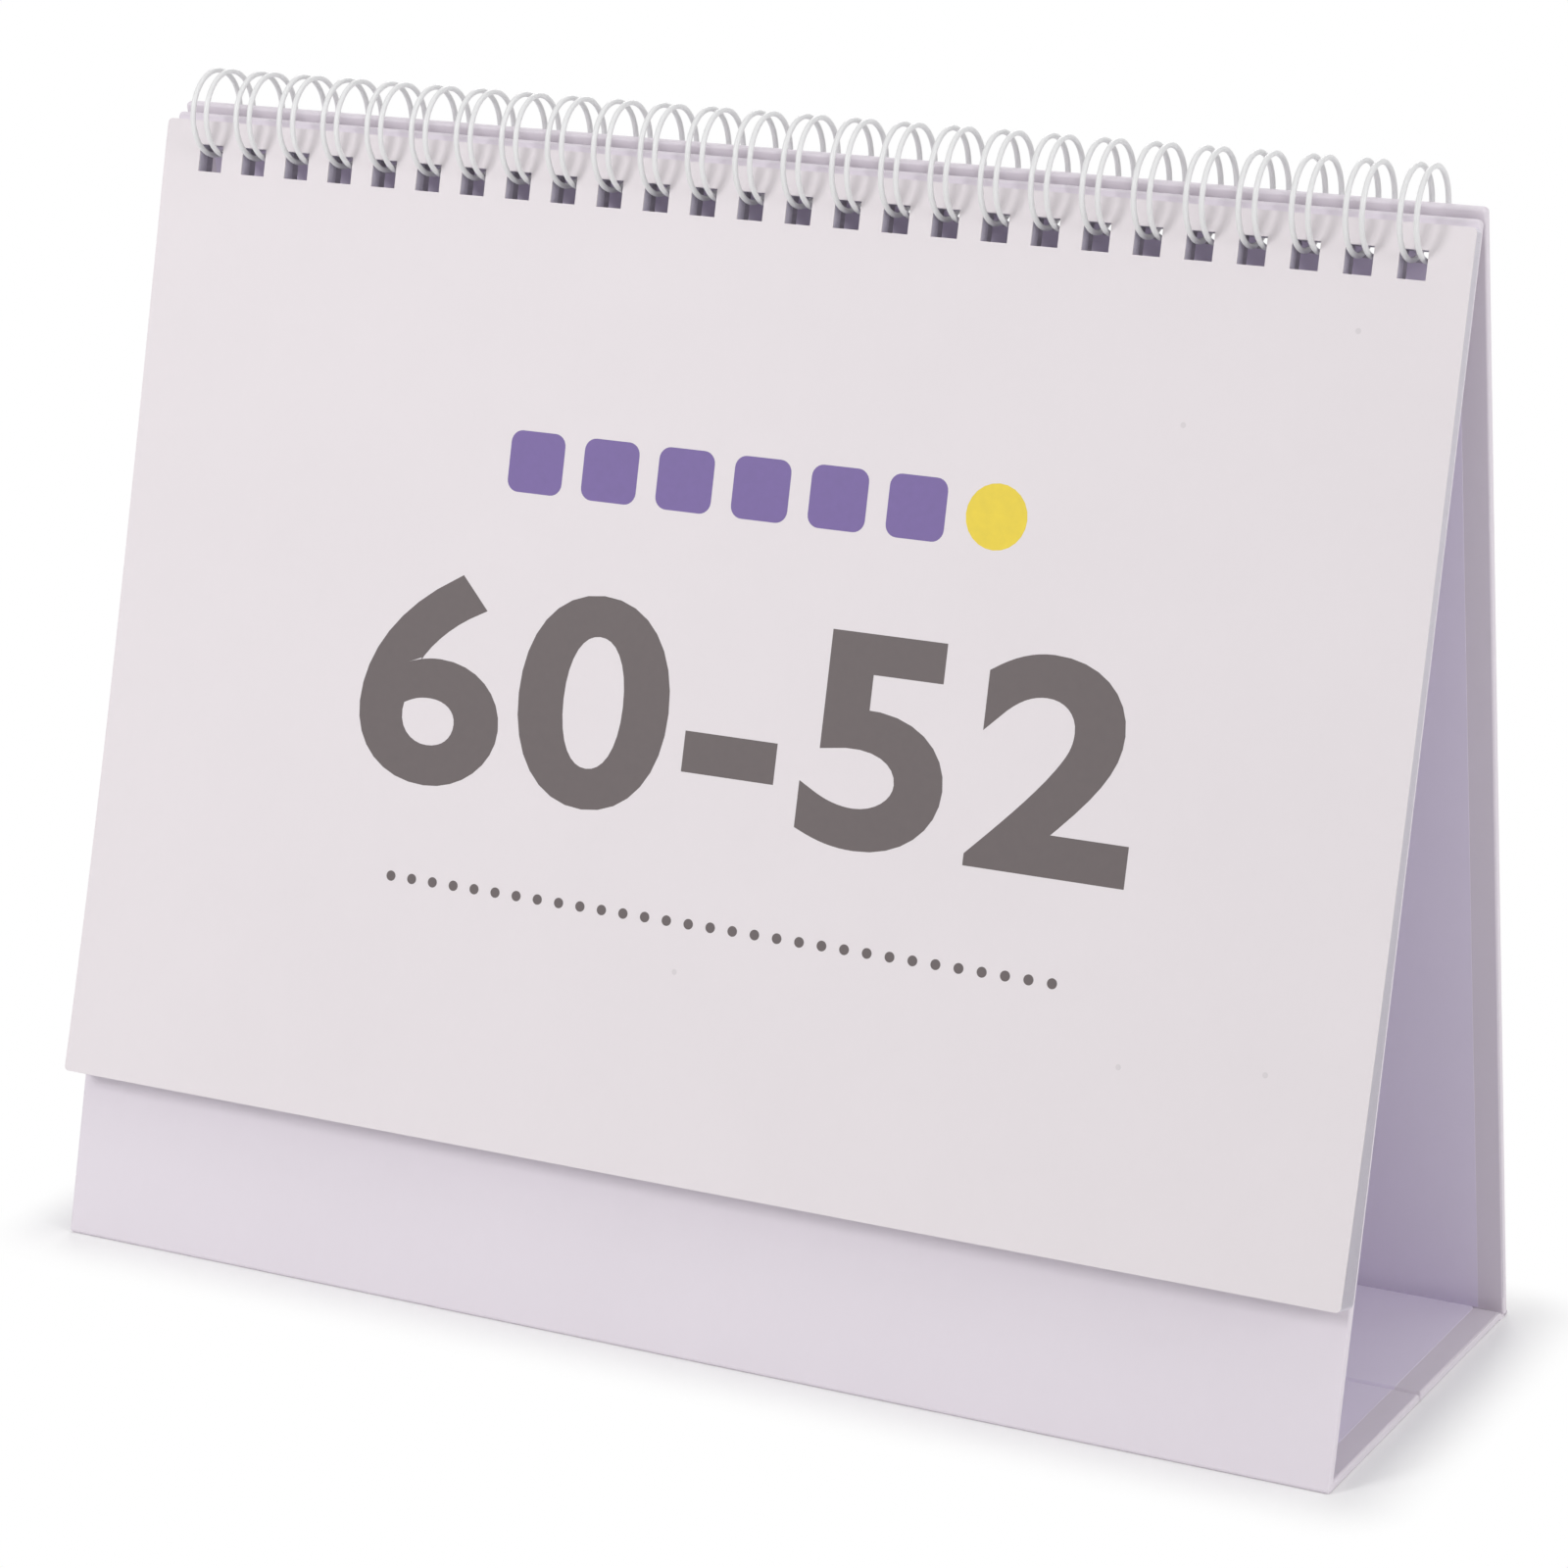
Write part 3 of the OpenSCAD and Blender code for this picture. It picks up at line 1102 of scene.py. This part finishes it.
class CALENDAR_OT_leaf_prints(bpy.types.Operator):
    """A month's grid of plain numbers on each leaf"""

    bl_idname = "calendar.leaf_prints"
    bl_label = "Leaf prints"

    def execute(self, context):
        digits = {str(i): lettering(str(i), 0.004) for i in range(10)}
        month_days = (31, 28, 31, 30, 31, 30, 31, 31, 30, 31, 30, 31)
        first_column = 4
        top = -24 * MM
        for month, (leaf, days) in enumerate(zip(LEAVES, month_days), 1):
            ink = Print(SheetShape(leaf))
            self.number(ink, digits, f"{month:02d}", -92 * MM, top, 15 * MM, "purple_ink")
            ink.disc(96 * MM, top, 9 * MM, "yellow_ink")
            self.grid(ink, digits, first_column, days)
            ink.finish(leaf + "_print", leaf, "leaf_paper")
            first_column = (first_column + days) % 7
        return {"FINISHED"}

    def number(self, ink, digits, text, x, u, height, colour):
        pitch = 0.82 * height
        for i, digit in enumerate(text):
            shift = (i - (len(text) - 1) / 2) * pitch
            ink.figures(digits[digit], x + shift, u, height, colour)

    def grid(self, ink, digits, first_column, days):
        """Six weeks of seven days, each number in its cell's upper left"""
        width, row, left, top = 30 * MM, 19 * MM, -105 * MM, -40 * MM
        line, height = 0.3 * MM, 5 * MM
        for i in range(8):
            ink.block(left + i * width, top - 3 * row, line, 6 * row, 0, "grey_ink")
        for i in range(7):
            ink.block(left + 3.5 * width, top - i * row, 7 * width, line, 0, "grey_ink")
        for day in range(1, days + 1):
            week, weekday = divmod(first_column + day - 1, 7)
            colour = "purple_ink" if weekday == 6 else "grey_ink"
            self.number(
                ink, digits, str(day), left + (weekday + 0.2) * width, top - (week + 0.3) * row,
                height, colour)


# Place and side of each light in metres. Its power is the stage's value of the same name.
LIGHTS = {
    "key": ((-0.45, -0.85, 0.6), 0.28),
    "fill": ((2.2, -0.58, 0.85), 1.2),
    "rear": ((-0.7, 1.7, 1.1), 1.0),
    "top": ((0.2, 0.0, 1.7), 1.2),
}
LIGHT_AIM = Vector((0, 0, 0.09))
WHITE = (1.0, 1.0, 1.0, 1.0)


class CALENDAR_OT_stage(bpy.types.Operator):
    """Camera, white floor, even light and four soft lights"""

    bl_idname = "calendar.stage"
    bl_label = "Stage"

    def execute(self, context):
        stage = context.scene.calendar_stage
        self.camera(context.scene, stage)
        self.floor(context.scene)
        self.world(context.scene, stage)
        for name, (spot, size) in LIGHTS.items():
            self.light(context.scene, name.title(), spot, size, getattr(stage, name))
        context.scene.view_settings.view_transform = "Standard"
        return {"FINISHED"}

    def camera(self, scene, stage):
        azimuth, elevation, roll = stage.azimuth, stage.elevation, stage.roll
        back = Vector((
            math.sin(azimuth) * math.cos(elevation), -math.cos(azimuth) * math.cos(elevation),
            math.sin(elevation)))
        level = Vector((math.cos(azimuth), math.sin(azimuth), 0))
        upright = back.cross(level)
        right = level * math.cos(roll) + upright * math.sin(roll)
        up = upright * math.cos(roll) - level * math.sin(roll)
        spot = Vector(stage.target) + back * stage.distance
        spot += right * stage.slide[0] + up * stage.slide[1]
        data = bpy.data.cameras.new("Camera")
        data.sensor_width = 36
        data.lens = stage.lens
        camera = bpy.data.objects.new("Camera", data)
        turn = Matrix((right, up, back)).transposed().to_4x4()
        camera.matrix_world = Matrix.Translation(spot) @ turn
        scene.collection.objects.link(camera)
        scene.camera = camera

    def floor(self, scene):
        half, drop, tone = 4.0, 0.02 * MM, (0.95, 0.95, 0.95, 1.0)
        builder = bmesh.new()
        bmesh.ops.create_grid(builder, x_segments=1, y_segments=1, size=half)
        mesh = bpy.data.meshes.new("Floor")
        builder.to_mesh(mesh)
        builder.free()
        paint = Paint("floor_white", Roughness=1.0)
        paint.set("Base Color", tone)
        self.fade_to_white(paint)
        mesh.materials.append(paint.material)
        floor = bpy.data.objects.new("Floor", mesh)
        floor.location.z = -drop
        scene.collection.objects.link(floor)

    def fade_to_white(self, paint):
        """Away from the object's footprint the camera sees plain white"""
        fade_start, fade_end = -2 * MM, 16 * MM
        squares = 0.0
        axes = paint.axes()
        for axis, half in ((0, STAND_W / 2), (1, REAR_FOLD.y)):
            past = (abs(Value(paint, axes[axis])) - half).at_least(0.0)
            squares = past * past + squares
        share = paint.add(
            "ShaderNodeMapRange", {"interpolation_type": "SMOOTHSTEP"},
            {"Value": squares.root(), "From Min": fade_start, "From Max": fade_end})
        factor = Value(paint, share.outputs[0]) * seen_rays(paint)
        white = paint.add("ShaderNodeEmission", {}, {"Color": WHITE, "Strength": 1.0})
        mix = paint.add(
            "ShaderNodeMixShader", {},
            {0: factor, 1: paint.bsdf.outputs[0], 2: white.outputs[0]})
        paint.put(paint.output.inputs[0], mix.outputs[0])

    def world(self, scene, stage):
        """Even light on the object, and plain white where the background is seen"""
        world = bpy.data.worlds.new("White room")
        world.use_nodes = True
        nodes = Nodes(world.node_tree)
        room = nodes.add(
            "ShaderNodeBackground", {}, {"Color": WHITE, "Strength": stage.world})
        seen = nodes.add("ShaderNodeBackground", {}, {"Color": WHITE, "Strength": 1.0})
        mix = nodes.add(
            "ShaderNodeMixShader", {},
            {0: seen_rays(nodes), 1: room.outputs[0], 2: seen.outputs[0]})
        nodes.add("ShaderNodeOutputWorld", {}, {0: mix.outputs[0]})
        scene.world = world

    def light(self, scene, name, spot, size, power):
        data = bpy.data.lights.new(name, "AREA")
        data.size = size
        data.energy = power
        light = bpy.data.objects.new(name, data)
        aim = LIGHT_AIM - Vector(spot)
        light.location = spot
        light.rotation_euler = aim.to_track_quat("-Z", "Y").to_euler()
        scene.collection.objects.link(light)


GROUPS = {
    "calendar_sizes": CalendarSizes,
    "calendar_colours": CalendarColours,
    "calendar_stage": CalendarStage,
}
STEPS = (
    CALENDAR_OT_sheets, CALENDAR_OT_boards, CALENDAR_OT_hinges, CALENDAR_OT_wire,
    CALENDAR_OT_cover_print, CALENDAR_OT_leaf_prints, CALENDAR_OT_stage)


class CALENDAR_PT_sidebar(bpy.types.Panel):
    """Sizes, colours and the steps that build the calendar"""

    bl_idname = "CALENDAR_PT_sidebar"
    bl_label = "Desk Calendar"
    bl_space_type = "VIEW_3D"
    bl_region_type = "UI"
    bl_category = "Calendar"

    def draw(self, context):
        for group_name, group in GROUPS.items():
            box = self.layout.box()
            for name in group.__annotations__:
                box.prop(getattr(context.scene, group_name), name)
        for step in STEPS:
            self.layout.operator(step.bl_idname)


def register():
    for kind in (*GROUPS.values(), *STEPS, CALENDAR_PT_sidebar):
        bpy.utils.register_class(kind)
    for name, group in GROUPS.items():
        setattr(bpy.types.Scene, name, PointerProperty(type=group))


def unregister():
    for name in GROUPS:
        delattr(bpy.types.Scene, name)
    for kind in (CALENDAR_PT_sidebar, *reversed(STEPS), *GROUPS.values()):
        bpy.utils.unregister_class(kind)


def main():
    """Builds the calendar and its stage"""
    register()
    for step in STEPS:
        family, name = step.bl_idname.split(".")
        getattr(getattr(bpy.ops, family), name)()


if __name__ == "__main__":
    main()
